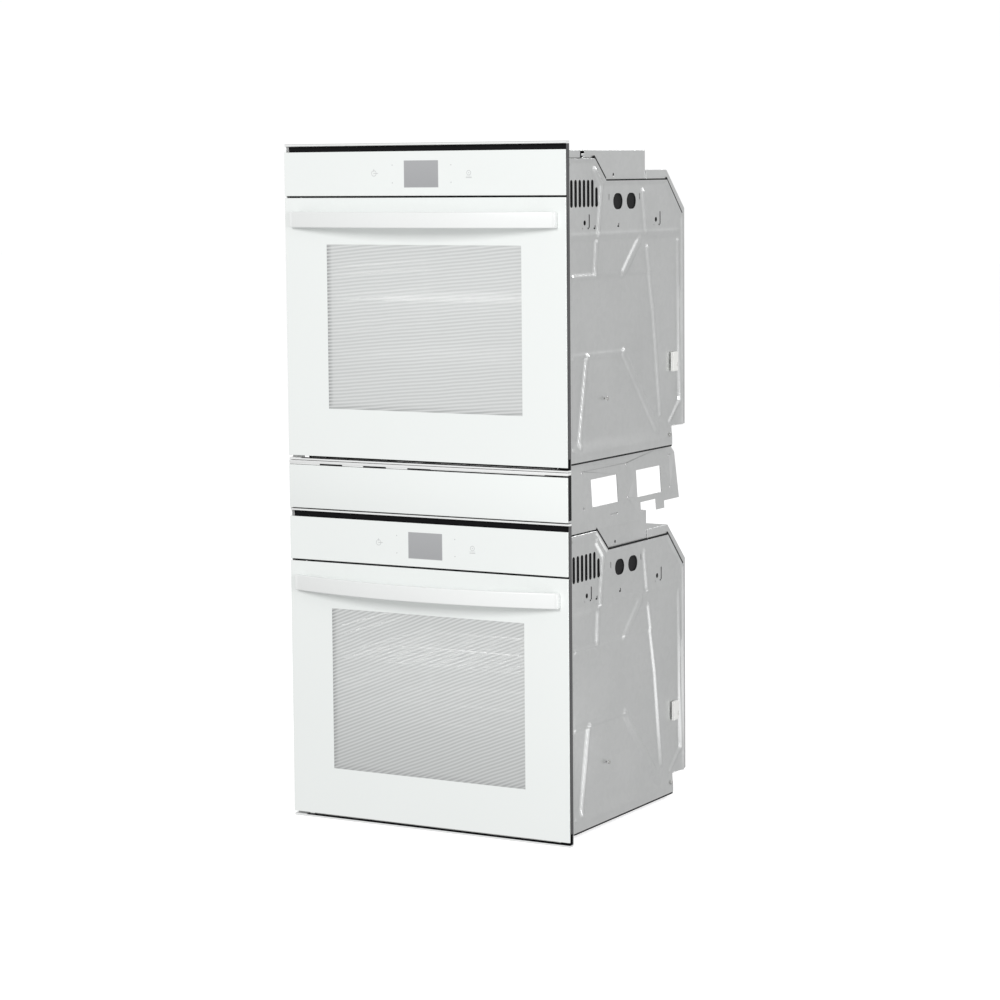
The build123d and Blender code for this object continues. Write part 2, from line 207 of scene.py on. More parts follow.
def makeSpangleGroup():
    # zinc flowers, rolling grain and handling marks of galvanised sheet
    group, start, end = newGroup(
        "sheetSpangle",
        (("Position", "NodeSocketVector", (0, 0, 0)), ("Flower Size", "NodeSocketFloat", 160.0),
         ("Flower Amount", "NodeSocketFloat", 0.5), ("Grain Amount", "NodeSocketFloat", 0.5)),
        (("Tone", "NodeSocketFloat"), ("Rough", "NodeSocketFloat"), ("Height", "NodeSocketFloat")))
    links = group.links
    flowers = addNode(group, "ShaderNodeTexVoronoi", feature="F1")
    links.new(start.outputs["Position"], flowers.inputs["Vector"])
    links.new(start.outputs["Flower Size"], flowers.inputs["Scale"])
    grey = addNode(group, "ShaderNodeSeparateColor")
    links.new(flowers.outputs["Color"], grey.inputs[0])
    grain = addNode(group, "ShaderNodeTexNoise", Scale=900.0, Detail=3.0)
    stretch = addNode(group, "ShaderNodeMapping")
    stretch.inputs["Scale"].default_value = (1, 1, 0.06)
    links.new(start.outputs["Position"], stretch.inputs["Vector"])
    links.new(stretch.outputs[0], grain.inputs["Vector"])
    cloud = addNode(group, "ShaderNodeTexNoise", Scale=7.0, Detail=4.0)
    links.new(start.outputs["Position"], cloud.inputs["Vector"])
    flower = mathNode(group, "SUBTRACT", grey.outputs[0], 0.5)
    flower = mathNode(group, "MULTIPLY", flower, start.outputs["Flower Amount"])
    fine = mathNode(group, "SUBTRACT", grain.outputs[0], 0.5)
    fine = mathNode(group, "MULTIPLY", fine, start.outputs["Grain Amount"])
    soft = mathNode(group, "MULTIPLY", mathNode(group, "SUBTRACT", cloud.outputs[0], 0.5), 0.5)
    total = mathNode(group, "ADD", mathNode(group, "ADD", flower, fine), soft)
    links.new(mathNode(group, "ADD", total, 0.5), end.inputs["Tone"])
    links.new(mathNode(group, "ADD", mathNode(group, "MULTIPLY", total, 0.6), 0.5), end.inputs["Rough"])
    links.new(mathNode(group, "ADD", fine, mathNode(group, "MULTIPLY", flower, 0.2)), end.inputs["Height"])
    return group


def makeConvexEdgeGroup():
    # a mask on convex edges, broken up by noise, where the colour is made lighter
    group, start, end = newGroup(
        "convexEdgeLighten",
        (("Position", "NodeSocketVector", (0, 0, 0)), ("Amount", "NodeSocketFloat", 0.5)),
        (("Mask", "NodeSocketFloat"),))
    links = group.links
    shape = addNode(group, "ShaderNodeNewGeometry")
    noise = addNode(group, "ShaderNodeTexNoise", Scale=60.0, Detail=4.0)
    links.new(start.outputs["Position"], noise.inputs["Vector"])
    edge = mathNode(group, "MULTIPLY", mathNode(group, "SUBTRACT", shape.outputs["Pointiness"], 0.52), 9.0)
    broken = mathNode(group, "MULTIPLY", edge, noise.outputs[0])
    mask = mathNode(group, "MULTIPLY", broken, start.outputs["Amount"])
    clamp = addNode(group, "ShaderNodeClamp")
    links.new(mask, clamp.inputs[0])
    links.new(clamp.outputs[0], end.inputs["Mask"])
    return group


def makeSmudgeGroup():
    # the faint film on glass and gloss surfaces
    group, start, end = newGroup(
        "surfaceFilm",
        (("Position", "NodeSocketVector", (0, 0, 0)), ("Amount", "NodeSocketFloat", 0.1)),
        (("Rough", "NodeSocketFloat"), ("Tone", "NodeSocketFloat")))
    links = group.links
    broad = addNode(group, "ShaderNodeTexNoise", Scale=4.0, Detail=5.0, Distortion=0.6)
    fine = addNode(group, "ShaderNodeTexNoise", Scale=120.0, Detail=2.0)
    links.new(start.outputs["Position"], broad.inputs["Vector"])
    links.new(start.outputs["Position"], fine.inputs["Vector"])
    mixed = mathNode(group, "ADD", mathNode(group, "MULTIPLY", broad.outputs[0], 0.7),
                     mathNode(group, "MULTIPLY", fine.outputs[0], 0.3))
    links.new(mathNode(group, "MULTIPLY", mixed, start.outputs["Amount"]), end.inputs["Rough"])
    links.new(mixed, end.inputs["Tone"])
    return group


print("shared effects")
spangleGroup = makeSpangleGroup()
convexEdgeGroup = makeConvexEdgeGroup()
filmGroup = makeSmudgeGroup()


def newMaterial(name, **sockets):
    material = bpy.data.materials.new(name)
    material.use_nodes = True
    tree = material.node_tree
    shader = tree.nodes["Principled BSDF"]
    for key, value in sockets.items():
        label = key.replace("_", " ")
        shader.inputs[label].default_value = (*value, 1) if isinstance(value, tuple) else value
    place = addNode(tree, "ShaderNodeTexCoord").outputs["Object"]
    return material, tree, shader, place


def placeGroup(tree, group, position, **values):
    node = tree.nodes.new("ShaderNodeGroup")
    node.node_tree = group
    tree.links.new(position, node.inputs["Position"])
    for key, value in values.items():
        node.inputs[key.replace("_", " ")].default_value = value
    return node


def blendColours(tree, mask, first, second):
    node = tree.nodes.new("ShaderNodeMix")
    node.data_type = "RGBA"
    sockets = [socket for socket in node.inputs if socket.enabled]
    tree.links.new(mask, sockets[0])
    for socket, colour in zip(sockets[1:], (first, second)):
        if isinstance(colour, tuple):
            socket.default_value = (*colour, 1)
        else:
            tree.links.new(colour, socket)
    return [socket for socket in node.outputs if socket.enabled][0]


def addBump(tree, shader, height, strength, distance):
    bump = addNode(tree, "ShaderNodeBump", Strength=strength, Distance=distance)
    tree.links.new(height, bump.inputs["Height"])
    tree.links.new(bump.outputs[0], shader.inputs["Normal"])


def makeSheetSteel(name, dark, light, roughLow, roughHigh, flower, metallic):
    material, tree, shader, place = newMaterial(name, Metallic=metallic)
    spangle = placeGroup(tree, spangleGroup, place, Flower_Size=flower, Flower_Amount=0.16, Grain_Amount=0.14)
    colour = rampNode(tree, spangle.outputs["Tone"], ((0.25, dark), (0.75, light)))
    # convex edges are given a lighter colour
    convexEdge = placeGroup(tree, convexEdgeGroup, place, Amount=0.6)
    bright = tuple(min(1.0, value * 1.25) for value in light)
    tree.links.new(blendColours(tree, convexEdge.outputs["Mask"], colour, bright), shader.inputs["Base Color"])
    rough = rampNode(tree, spangle.outputs["Rough"], ((0.3, roughLow), (0.7, roughHigh)))
    tree.links.new(rough, shader.inputs["Roughness"])
    addBump(tree, shader, spangle.outputs["Height"], 0.25, 0.0002)
    return material


def makePaint(name, colour, rough, peel=0.15, coat=0.0, edgeTone=(0.5, 0.5, 0.5), edgeAmount=0.5, shine=0.5):
    material, tree, shader, place = newMaterial(name, Coat_Weight=coat, Coat_Roughness=0.1, Specular_IOR_Level=shine)
    film = placeGroup(tree, filmGroup, place, Amount=0.12)
    # convex edges are given a lighter colour
    convexEdge = placeGroup(tree, convexEdgeGroup, place, Amount=edgeAmount)
    darker = tuple(value * 0.93 for value in colour)
    base = blendColours(tree, film.outputs["Tone"], colour, darker)
    tree.links.new(blendColours(tree, convexEdge.outputs["Mask"], base, edgeTone), shader.inputs["Base Color"])
    tree.links.new(mathNode(tree, "ADD", film.outputs["Rough"], rough), shader.inputs["Roughness"])
    skin = addNode(tree, "ShaderNodeTexNoise", Scale=700.0, Detail=2.0)
    tree.links.new(place, skin.inputs["Vector"])
    addBump(tree, shader, skin.outputs[0], peel, 0.0002)
    return material


def makeEnamel(name):
    # vitreous enamel: dark blue-grey with fine pale specks and a wet gloss
    material, tree, shader, place = newMaterial(name, Coat_Weight=0.6, Coat_Roughness=0.06)
    specks = addNode(tree, "ShaderNodeTexVoronoi", Scale=420.0, feature="F1")
    tree.links.new(place, specks.inputs["Vector"])
    dots = rampNode(tree, specks.outputs["Distance"], ((0.10, 1.0), (0.17, 0.0)))
    film = placeGroup(tree, filmGroup, place, Amount=0.2)
    base = blendColours(tree, film.outputs["Tone"], (0.012, 0.013, 0.016), (0.022, 0.023, 0.027))
    tree.links.new(blendColours(tree, dots, base, (0.16, 0.165, 0.17)), shader.inputs["Base Color"])
    tree.links.new(mathNode(tree, "ADD", film.outputs["Rough"], 0.16), shader.inputs["Roughness"])
    waves = addNode(tree, "ShaderNodeTexNoise", Scale=90.0, Detail=2.0)
    tree.links.new(place, waves.inputs["Vector"])
    addBump(tree, shader, waves.outputs[0], 0.12, 0.0006)
    return material


def makeHeater(name):
    material, tree, shader, place = newMaterial(name, Metallic=0.85)
    tint = addNode(tree, "ShaderNodeTexNoise", Scale=26.0, Detail=5.0)
    tree.links.new(place, tint.inputs["Vector"])
    stops = ((0.3, (0.05, 0.045, 0.045)), (0.55, (0.13, 0.10, 0.085)), (0.75, (0.17, 0.15, 0.16)))
    colour = rampNode(tree, tint.outputs[0], stops)
    tree.links.new(colour, shader.inputs["Base Color"])
    tree.links.new(rampNode(tree, tint.outputs[0], ((0.2, 0.38), (0.8, 0.62))), shader.inputs["Roughness"])
    addBump(tree, shader, tint.outputs[0], 0.2, 0.0003)
    return material


def makeWire(name):
    material, tree, shader, place = newMaterial(name, Metallic=0.45)
    film = placeGroup(tree, filmGroup, place, Amount=0.16)
    colour = blendColours(tree, film.outputs["Tone"], (0.92, 0.92, 0.91), (0.80, 0.79, 0.77))
    tree.links.new(colour, shader.inputs["Base Color"])
    tree.links.new(mathNode(tree, "ADD", film.outputs["Rough"], 0.1), shader.inputs["Roughness"])
    draw = addNode(tree, "ShaderNodeTexNoise", Scale=400.0, Detail=2.0)
    tree.links.new(place, draw.inputs["Vector"])
    addBump(tree, shader, draw.outputs[0], 0.08, 0.0001)
    return material


def makeWool(name):
    material, tree, shader, place = newMaterial(name, Sheen_Weight=0.3)
    fibre = addNode(tree, "ShaderNodeTexNoise", Scale=240.0, Detail=6.0, Distortion=2.5)
    tree.links.new(place, fibre.inputs["Vector"])
    colour = rampNode(tree, fibre.outputs[0], ((0.3, (0.42, 0.36, 0.22)), (0.7, (0.72, 0.66, 0.47))))
    tree.links.new(colour, shader.inputs["Base Color"])
    tree.links.new(rampNode(tree, fibre.outputs[0], ((0.2, 0.85), (0.8, 1.0))), shader.inputs["Roughness"])
    addBump(tree, shader, fibre.outputs[0], 0.8, 0.002)
    return material


def makeClearGlass(name, tint, alpha):
    material, tree, shader, place = newMaterial(name, Transmission_Weight=0.0, IOR=1.5, Alpha=alpha)
    film = placeGroup(tree, filmGroup, place, Amount=0.06)
    tree.links.new(blendColours(tree, film.outputs["Tone"], tint, tuple(value * 0.9 for value in tint)),
                   shader.inputs["Base Color"])
    tree.links.new(mathNode(tree, "ADD", film.outputs["Rough"], 0.02), shader.inputs["Roughness"])
    return material


def makeBraid(name):
    # braided glass-fibre seal
    material, tree, shader, place = newMaterial(name)
    weave = addNode(tree, "ShaderNodeTexWave", Scale=220.0, Distortion=1.2, Detail=2.0)
    weave.bands_direction = "DIAGONAL"
    tree.links.new(place, weave.inputs["Vector"])
    colour = rampNode(tree, weave.outputs["Fac"], ((0.2, (0.018, 0.018, 0.018)), (0.8, (0.075, 0.073, 0.07))))
    tree.links.new(colour, shader.inputs["Base Color"])
    tree.links.new(rampNode(tree, weave.outputs["Fac"], ((0.0, 0.7), (1.0, 0.9))), shader.inputs["Roughness"])
    addBump(tree, shader, weave.outputs["Fac"], 0.7, 0.0006)
    return material


whiteGlassValues = {"white": (0.86, 0.885, 0.872), "shade": (0.835, 0.862, 0.85), "rough": 0.05}


def makeWhiteGlass(name):
    # back-painted glass: a white ground under a clear gloss coat
    values = whiteGlassValues
    material, tree, shader, place = newMaterial(name, Coat_Weight=0.35, Coat_Roughness=0.03, IOR=1.45)
    film = placeGroup(tree, filmGroup, place, Amount=0.05)
    colour = blendColours(tree, film.outputs["Tone"], values["white"], values["shade"])
    tree.links.new(colour, shader.inputs["Base Color"])
    tree.links.new(mathNode(tree, "ADD", film.outputs["Rough"], values["rough"]), shader.inputs["Roughness"])
    return material, tree, shader, place, colour


def rectangleMask(tree, place, low, high, soft):
    # 1 inside a rectangle on the front, given by its lower left and upper right corners in X and Z
    parts = addNode(tree, "ShaderNodeSeparateXYZ")
    tree.links.new(place, parts.inputs[0])
    mask = None
    for axis, (a, b) in (("X", (low[0], high[0])), ("Z", (low[1], high[1]))):
        fromLow = addNode(tree, "ShaderNodeMapRange", clamp=True)
        fromHigh = addNode(tree, "ShaderNodeMapRange", clamp=True)
        for node, start, end in ((fromLow, a - soft, a + soft), (fromHigh, b + soft, b - soft)):
            node.inputs["From Min"].default_value = start
            node.inputs["From Max"].default_value = end
            tree.links.new(parts.outputs[axis], node.inputs["Value"])
        both = mathNode(tree, "MULTIPLY", fromLow.outputs[0], fromHigh.outputs[0])
        mask = both if mask is None else mathNode(tree, "MULTIPLY", mask, both)
    return mask, parts


windowValues = {
    "low": (-206.0, 90.5), "high": (206.5, 395.8),  # corners on the glass, mm
    "pitch": {"lower": 6.1, "upper": 6.4},  # printed lines, mm apart
    "tilt": {"lower": 22.0, "upper": 5.0},  # degrees
    "dark": {"lower": (0.665, 0.68, 0.675), "upper": (0.735, 0.75, 0.745)},
    "light": {"lower": (0.80, 0.815, 0.81), "upper": (0.82, 0.835, 0.83)},
    # the foot and edge tones below are painted shade
    "footShade": {"lower": 0.3, "upper": 0.02}, "footHeight": 170.0,
    "edgeShadowTone": (0.42, 0.43, 0.43), "edgeWidth": 11.0,
    "alphaLow": 0.66, "alphaHigh": 0.74,
    "softness": 0.0004, "waver": 0.004, "waverScale": 9.0,  # m, m, and how fine the waver is
    "footEdge": 0.6, "edgeReach": 1.15,  # how much of the edge shading reaches foot and lines
}


def makeDoorGlass(unit):
    # white glass with its window: a field of fine printed lines that lets the oven show faintly; painted shadow darkens
    # the window's left and bottom edges, and painted shade darkens the lower unit's window towards its foot
    values = windowValues
    material, tree, shader, place, white = makeWhiteGlass(unit + "DoorGlass")
    base = unitBase[unit]
    low = (values["low"][0] * mm, base + values["low"][1] * mm)
    high = (values["high"][0] * mm, base + values["high"][1] * mm)
    mask, parts = rectangleMask(tree, place, low, high, values["softness"])
    turn = math.radians(values["tilt"][unit])
    across = mathNode(tree, "MULTIPLY", parts.outputs["X"], -math.sin(turn))
    up = mathNode(tree, "MULTIPLY", parts.outputs["Z"], math.cos(turn))
    along = mathNode(tree, "ADD", across, up)
    wobble = addNode(tree, "ShaderNodeTexNoise", Scale=values["waverScale"], Detail=2.0)
    tree.links.new(place, wobble.inputs["Vector"])
    along = mathNode(tree, "ADD", along, mathNode(tree, "MULTIPLY", wobble.outputs[0], values["waver"]))
    wave = mathNode(tree, "SINE", mathNode(tree, "MULTIPLY", along, 2 * math.pi / (values["pitch"][unit] * mm)))
    lines = mathNode(tree, "ADD", mathNode(tree, "MULTIPLY", wave, 0.5), 0.5)
    field = rampNode(tree, lines, ((0.15, values["dark"][unit]), (0.85, values["light"][unit])))
    # painted shadow along the window's left and bottom edges, strongest on the darker printed lines
    edge = addNode(tree, "ShaderNodeMapRange", clamp=True)
    edge.inputs["From Min"].default_value = low[0] + values["edgeWidth"] * mm
    edge.inputs["From Max"].default_value = low[0]
    tree.links.new(parts.outputs["X"], edge.inputs["Value"])
    foot = addNode(tree, "ShaderNodeMapRange", clamp=True)
    foot.inputs["From Min"].default_value = low[1] + values["edgeWidth"] * mm
    foot.inputs["From Max"].default_value = low[1]
    tree.links.new(parts.outputs["Z"], foot.inputs["Value"])
    shadow = mathNode(tree, "MAXIMUM", edge.outputs[0], mathNode(tree, "MULTIPLY", foot.outputs[0], values["footEdge"]))
    shadow = mathNode(tree, "MULTIPLY", shadow, mathNode(tree, "SUBTRACT", values["edgeReach"], lines))
    field = blendColours(tree, shadow, field, values["edgeShadowTone"])
    # painted shade towards the window's foot: strong on the lower unit, faint on the upper
    lowPart = addNode(tree, "ShaderNodeMapRange", clamp=True)
    lowPart.inputs["From Min"].default_value = low[1] + values["footHeight"] * mm
    lowPart.inputs["From Max"].default_value = low[1]
    lowPart.inputs["To Max"].default_value = values["footShade"][unit]
    tree.links.new(parts.outputs["Z"], lowPart.inputs["Value"])
    field = blendColours(tree, lowPart.outputs[0], field, values["edgeShadowTone"])
    tree.links.new(blendColours(tree, mask, white, field), shader.inputs["Base Color"])
    clear = rampNode(tree, lines, ((0.1, values["alphaLow"]), (0.9, values["alphaHigh"])))
    opaque = mathNode(tree, "SUBTRACT", 1.0, mask)
    alpha = mathNode(tree, "MAXIMUM", opaque, clear)
    tree.links.new(alpha, shader.inputs["Alpha"])
    return material


displayValues = {"low": (-36.5, 500.5), "high": (36.0, 549.5),  # corners on the glass, mm
                 "grey": (0.405, 0.41, 0.42), "deep": (0.37, 0.375, 0.385)}


def makeControlGlass(unit):
    values = displayValues
    material, tree, shader, place, white = makeWhiteGlass(unit + "ControlGlass")
    base = unitBase[unit]
    low = (values["low"][0] * mm, base + values["low"][1] * mm)
    high = (values["high"][0] * mm, base + values["high"][1] * mm)
    mask, parts = rectangleMask(tree, place, low, high, windowValues["softness"])
    fade = addNode(tree, "ShaderNodeMapRange", clamp=True)
    fade.inputs["From Min"].default_value = low[1]
    fade.inputs["From Max"].default_value = high[1]
    tree.links.new(parts.outputs["Z"], fade.inputs["Value"])
    screen = blendColours(tree, fade.outputs[0], values["deep"], values["grey"])
    tree.links.new(blendColours(tree, mask, white, screen), shader.inputs["Base Color"])
    return material


trimValues = {
    "topLip": 577.0, "bottomLip": -5.2, "hem": -8.1, "brim": 580.8,  # heights above the door, mm
    "leftEnd": -0.2956, "lowLeftEnd": -0.271, "sideLip": 0.2958,  # places across, m
    "black": (0.008, 0.008, 0.009), "side": (0.10, 0.10, 0.102), "pale": (0.80, 0.81, 0.805),
    # the brim tone is painted shade: the same brim is near black on the lower unit and grey on the upper
    "hemTone": (0.25, 0.25, 0.25), "brimPaintedShade": {"lower": (0.02, 0.02, 0.02), "upper": (0.42, 0.42, 0.42)},
}


def makeLitShadedTrimPaint(unit):
    # black flange whose folded top and bottom lips are painted pale as a painted highlight and whose outer lip is dark
    # grey; the left end is pale too, and the brim carries painted shade, near black on the lower unit and grey on the
    # upper
    values = trimValues
    material, tree, shader, place = newMaterial(unit + "FlangePaintLitShaded", Specular_IOR_Level=0.12)
    film = placeGroup(tree, filmGroup, place, Amount=0.15)
    parts = addNode(tree, "ShaderNodeSeparateXYZ")
    tree.links.new(place, parts.inputs[0])
    # the pale top and bottom lips are a painted highlight on the folded lips
    above = mathNode(tree, "GREATER_THAN", parts.outputs["Z"], unitBase[unit] + values["topLip"] * mm)
    below = mathNode(tree, "LESS_THAN", parts.outputs["Z"], unitBase[unit] + values["bottomLip"] * mm)
    outside = mathNode(tree, "GREATER_THAN", mathNode(tree, "ABSOLUTE", parts.outputs["X"]), values["sideLip"])
    higher = mathNode(tree, "GREATER_THAN", parts.outputs["Z"], unitBase[unit] + values["bottomLip"] * mm)
    outside = mathNode(tree, "MULTIPLY", outside, higher)
    dark = blendColours(tree, outside, values["black"], values["side"])
    colour = blendColours(tree, mathNode(tree, "MAXIMUM", above, below), dark, values["pale"])
    left = mathNode(tree, "LESS_THAN", parts.outputs["X"], values["leftEnd"])
    lowLeft = mathNode(tree, "LESS_THAN", parts.outputs["X"], values["lowLeftEnd"])
    low = mathNode(tree, "LESS_THAN", parts.outputs["Z"], unitBase[unit])
    left = mathNode(tree, "MAXIMUM", left, mathNode(tree, "MULTIPLY", lowLeft, low))
    colour = blendColours(tree, left, colour, values["pale"])
    # painted shade on the brim, darker on the lower unit
    brim = mathNode(tree, "GREATER_THAN", parts.outputs["Z"], unitBase[unit] + values["brim"] * mm)
    colour = blendColours(tree, brim, colour, values["brimPaintedShade"][unit])
    hem = mathNode(tree, "LESS_THAN", parts.outputs["Z"], unitBase[unit] + values["hem"] * mm)
    colour = blendColours(tree, hem, colour, values["hemTone"])
    tree.links.new(colour, shader.inputs["Base Color"])
    tree.links.new(mathNode(tree, "ADD", film.outputs["Rough"], 0.3), shader.inputs["Roughness"])
    skin = addNode(tree, "ShaderNodeTexNoise", Scale=700.0, Detail=2.0)
    tree.links.new(place, skin.inputs["Vector"])
    addBump(tree, shader, skin.outputs[0], 0.1, 0.0002)
    return material


print("finishes")
galvanised = makeSheetSteel("galvanisedSheet", (0.74, 0.752, 0.748), (0.82, 0.83, 0.827), 0.32, 0.40, 110.0, 1.0)
brightSteel = makeSheetSteel("zincPlatedSteel", (0.50, 0.50, 0.49), (0.66, 0.66, 0.64), 0.28, 0.42, 320.0, 0.9)
darkTrim = makePaint("charcoalPaint", (0.010, 0.010, 0.011), 0.5, edgeTone=(0.05, 0.05, 0.05), shine=0.12)
lipMetal = makePaint("paleLipPaint", (0.80, 0.81, 0.805), 0.25, peel=0.08, edgeTone=(0.9, 0.9, 0.9))
enamel = makeEnamel("speckledEnamel")
heater = makeHeater("heatTintedTube")
wire = makeWire("polishedWire")
wool = makeWool("mineralWool")
clearGlass = makeClearGlass("clearPane", (0.75, 0.8, 0.78), 0.12)
lampGlass = makeClearGlass("lampGlass", (0.8, 0.82, 0.8), 0.35)
whitePowder = makePaint("whitePowderCoat", (0.86, 0.875, 0.868), 0.24, peel=0.06, coat=0.2, edgeTone=(0.9, 0.9, 0.9),
                        edgeAmount=0.2)
whitePlastic = makePaint("whiteMoulding", (0.84, 0.84, 0.82), 0.42, peel=0.2, edgeTone=(0.9, 0.9, 0.88))
# black moulding for the black plastic parts, also used for the black strips and sheets that stand in for shadow
blackPlasticAndShadow = makePaint("blackMouldingAndShadow", (0.008, 0.008, 0.009), 0.5, peel=0.3, edgeTone=(0.04, 0.04, 0.04), shine=0.12)
braid = makeBraid("braidedSeal")
symbolInk = makePaint("symbolInk", (0.56, 0.57, 0.57), 0.25, peel=0.02, edgeAmount=0.0)
plainWhiteGlass = makeWhiteGlass("midPanelGlass")[0]

slotFinish = {
    "galvanised_steel": galvanised, "bright_steel": brightSteel, "heater_steel": heater, "chrome_wire": wire,
    "enamel_grey": enamel, "dark_trim": darkTrim, "white_glass": plainWhiteGlass, "clear_glass": clearGlass,
    "white_lacquer": whitePowder, "white_plastic": whitePlastic, "black_plastic": blackPlasticAndShadow,
    "mineral_wool": wool, "gasket_rubber": braid,
}
trimFinish = {unit + "_front_trim": makeLitShadedTrimPaint(unit) for unit in units}
edgeSoftness = {"front_trim": 0.5, "rear_cover": 2.0, "top_cover": 1.5, "link_brackets": 0.5, "base_plate": 0.8,
                "front_frame": 1.0, "door_frame": 0.8, "control_module": 0.8, "terminal_boxes": 0.8, "side_clips": 0.8,
                "fan_cover": 0.4, "blower_housing": 0.8}


def softenNode(node, width):
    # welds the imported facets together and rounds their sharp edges
    weld = node.modifiers.new("weld", "WELD")
    weld.merge_threshold = 0.00001
    bevel = node.modifiers.new("soften", "BEVEL")
    bevel.width = width * mm
    bevel.segments = 2
    bevel.limit_method = "ANGLE"
    bevel.angle_limit = math.radians(35)


def dressFrame():
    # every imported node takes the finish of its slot; folded and moulded ones also get rounded edges
    slots = {row["node"]: row["material_slot"] for row in frame["record"]["subparts"]}
    for name, node in frame["nodes"].items():
        material = lampGlass if name == "lamp_lenses" else trimFinish.get(name, slotFinish[slots[name]])
        if not node.data.materials:
            node.data.materials.append(material)
        for place in range(len(node.data.materials)):
            node.data.materials[place] = material
        for ending, width in edgeSoftness.items():
            if name.endswith(ending):
                softenNode(node, width)


glassValues = {"edgeRound": 0.7, "edgeSteps": 3, "rimInset": 1.1, "faceInset": 4.0}  # mm


def makeGlassSlab(name, node):
    low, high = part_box(node)
    slab = addBlock(name, low, high)
    selectInEdit(slab, "faces", lambda face: face.normal.y < -0.9)
    bpy.ops.mesh.inset(thickness=glassValues["rimInset"] * mm, depth=0)
    bpy.ops.mesh.inset(thickness=glassValues["faceInset"] * mm, depth=0)
    leaveEdit()
    roundEdges(slab, glassValues["edgeRound"] * mm, glassValues["edgeSteps"], 60)
    smoothByAngle(slab, 50)
    return slab


def makeFronts(unit):
    door = makeGlassSlab(unit + "DoorFront", unit + "_door_glass")
    finishPiece(door, unit + "_door", makeDoorGlass(unit), [unit + "_door_glass"])
    control = makeGlassSlab(unit + "ControlFront", unit + "_control_glass")
    finishPiece(control, "chassis", makeControlGlass(unit), [unit + "_control_glass"])


symbolValues = {
    "proud": 0.06, "thick": 0.12, "line": 1.0, "height": 526.5, "dotRadius": 1.1, "flatten": 0.3,
    "rings": ((-101.0, 5.0), (100.0, 4.2)),  # place across and radius, mm
    "strokes": ((-101.0, 3.0, 8.0, 0.5), (-97.0, -0.5, 0.5, 5.0), (100.0, -9.4, -8.2, 6.0),
                (100.0, -6.6, -6.0, 6.0), (100.0, -0.9, 0.9, 0.9)),  # across, low, high, half width, mm
    "dots": ((-61.5, 541.5), (-61.5, 509.0), (63.0, 541.0), (63.0, 509.5)),
}


def makeSymbols(unit):
    # touch symbols printed on the control glass: a ring with a stem, a ring in a tray, and four dots
    values = symbolValues
    base = unitBase[unit]
    turn = (math.radians(90), 0, 0)
    depth = -values["proud"] + values["thick"] / 2
    pieces = []
    for across, radius in values["rings"]:
        deselectAll()
        bpy.ops.mesh.primitive_torus_add(major_segments=40, minor_segments=6, major_radius=radius * mm,
                                         minor_radius=values["line"] * mm / 2, rotation=turn,
                                         location=inFrame(across, 0, values["height"], base))
        ring = bpy.context.active_object
        ring.scale = (1, 1, values["flatten"])
        applyAll(ring)
        pieces.append(ring)
    for across, low, high, half in values["strokes"]:
        start = inFrame(across - half, -values["proud"], values["height"] + low, base)
        end = inFrame(across + half, values["thick"], values["height"] + high, base)
        pieces.append(addBlock("stroke", start, end))
    for across, height in values["dots"]:
        pieces.append(addRod("dot", inFrame(across, depth, height, base), values["dotRadius"] * mm,
                             values["thick"] * mm, turn))
    symbols = joinPieces(unit + "TouchSymbols", pieces)
    smoothByAngle(symbols)
    finishPiece(symbols, "chassis", symbolInk)


handleValues = {"half": 281.0, "low": 427.5, "high": 456.5, "reach": 49.0, "rest": 10.0, "thick": 8.0,
                "round": 2.2, "steps": 56, "slice": 0.5, "foot": 13.0, "footLap": 1.5, "footInset": 0.6,
                "footGap": 0.2, "footRound": 1.2}  # mm, apart from steps


def makeHandle(unit):
    # a flat rounded bar spun along a shallow bow, with a foot at each end
    values = handleValues
    base = unitBase[unit]
    rise = values["reach"] - values["rest"]
    radius = (values["half"] ** 2 + rise ** 2) / (2 * rise)
    sweep = 2 * math.asin(values["half"] / radius)
    middle = inFrame(0, radius - values["reach"], (values["low"] + values["high"]) / 2, base)
    tall = (values["high"] - values["low"]) / 2 * mm
    section = addBlock(unit + "Handle", middle + Vector((-values["slice"] * mm, -radius * mm, -tall)),
                       middle + Vector((0, (values["thick"] - radius) * mm, tall)))
    selectInEdit(section, "edges", lambda edge: abs(edge.verts[0].co.x - edge.verts[1].co.x) > 0.0002)
    bpy.ops.mesh.bevel(offset=values["round"] * mm, segments=5, affect="EDGES")
    bpy.ops.mesh.select_mode(type="FACE")
    bpy.ops.mesh.select_all(action="DESELECT")
    work = bmesh.from_edit_mesh(section.data)
    for face in work.faces:
        face.select_set(face.normal.x > 0.9)
    bmesh.update_edit_mesh(section.data)
    bpy.ops.mesh.select_all(action="INVERT")
    bpy.ops.mesh.delete(type="FACE")
    bpy.ops.mesh.select_all(action="SELECT")
    bpy.ops.mesh.spin(steps=values["steps"], angle=sweep, center=middle, axis=(0, 0, 1))
    leaveEdit()
    # the spin starts at mid bow and runs towards -X, so turn the arc back by half of its sweep
    turn = Matrix.Translation(middle) @ Matrix.Rotation(sweep / 2, 4, "Z") @ Matrix.Translation(-middle)
    section.data.transform(turn)
    work = bmesh.new()
    work.from_mesh(section.data)
    bmesh.ops.remove_doubles(work, verts=work.verts, dist=1e-6)
    bmesh.ops.holes_fill(work, edges=[edge for edge in work.edges if edge.is_boundary])
    bmesh.ops.recalc_face_normals(work, faces=work.faces)
    work.to_mesh(section.data)
    work.free()
    pieces = [section]
    for side in (1, -1):
        low, high = values["low"] + values["footInset"], values["high"] - values["footInset"]
        a = inFrame(side * values["half"], -values["rest"] - values["footLap"], low, base)
        b = inFrame(side * (values["half"] - values["foot"]), -values["footGap"], high, base)
        foot = addBlock("foot", Vector(map(min, a, b)), Vector(map(max, a, b)))
        roundEdges(foot, values["footRound"] * mm, 3)
        pieces.append(foot)
    bar = joinPieces(unit + "Handle", pieces)
    smoothByAngle(bar, 40)
    finishPiece(bar, unit + "_door", whitePowder, [unit + "_door_handle"])


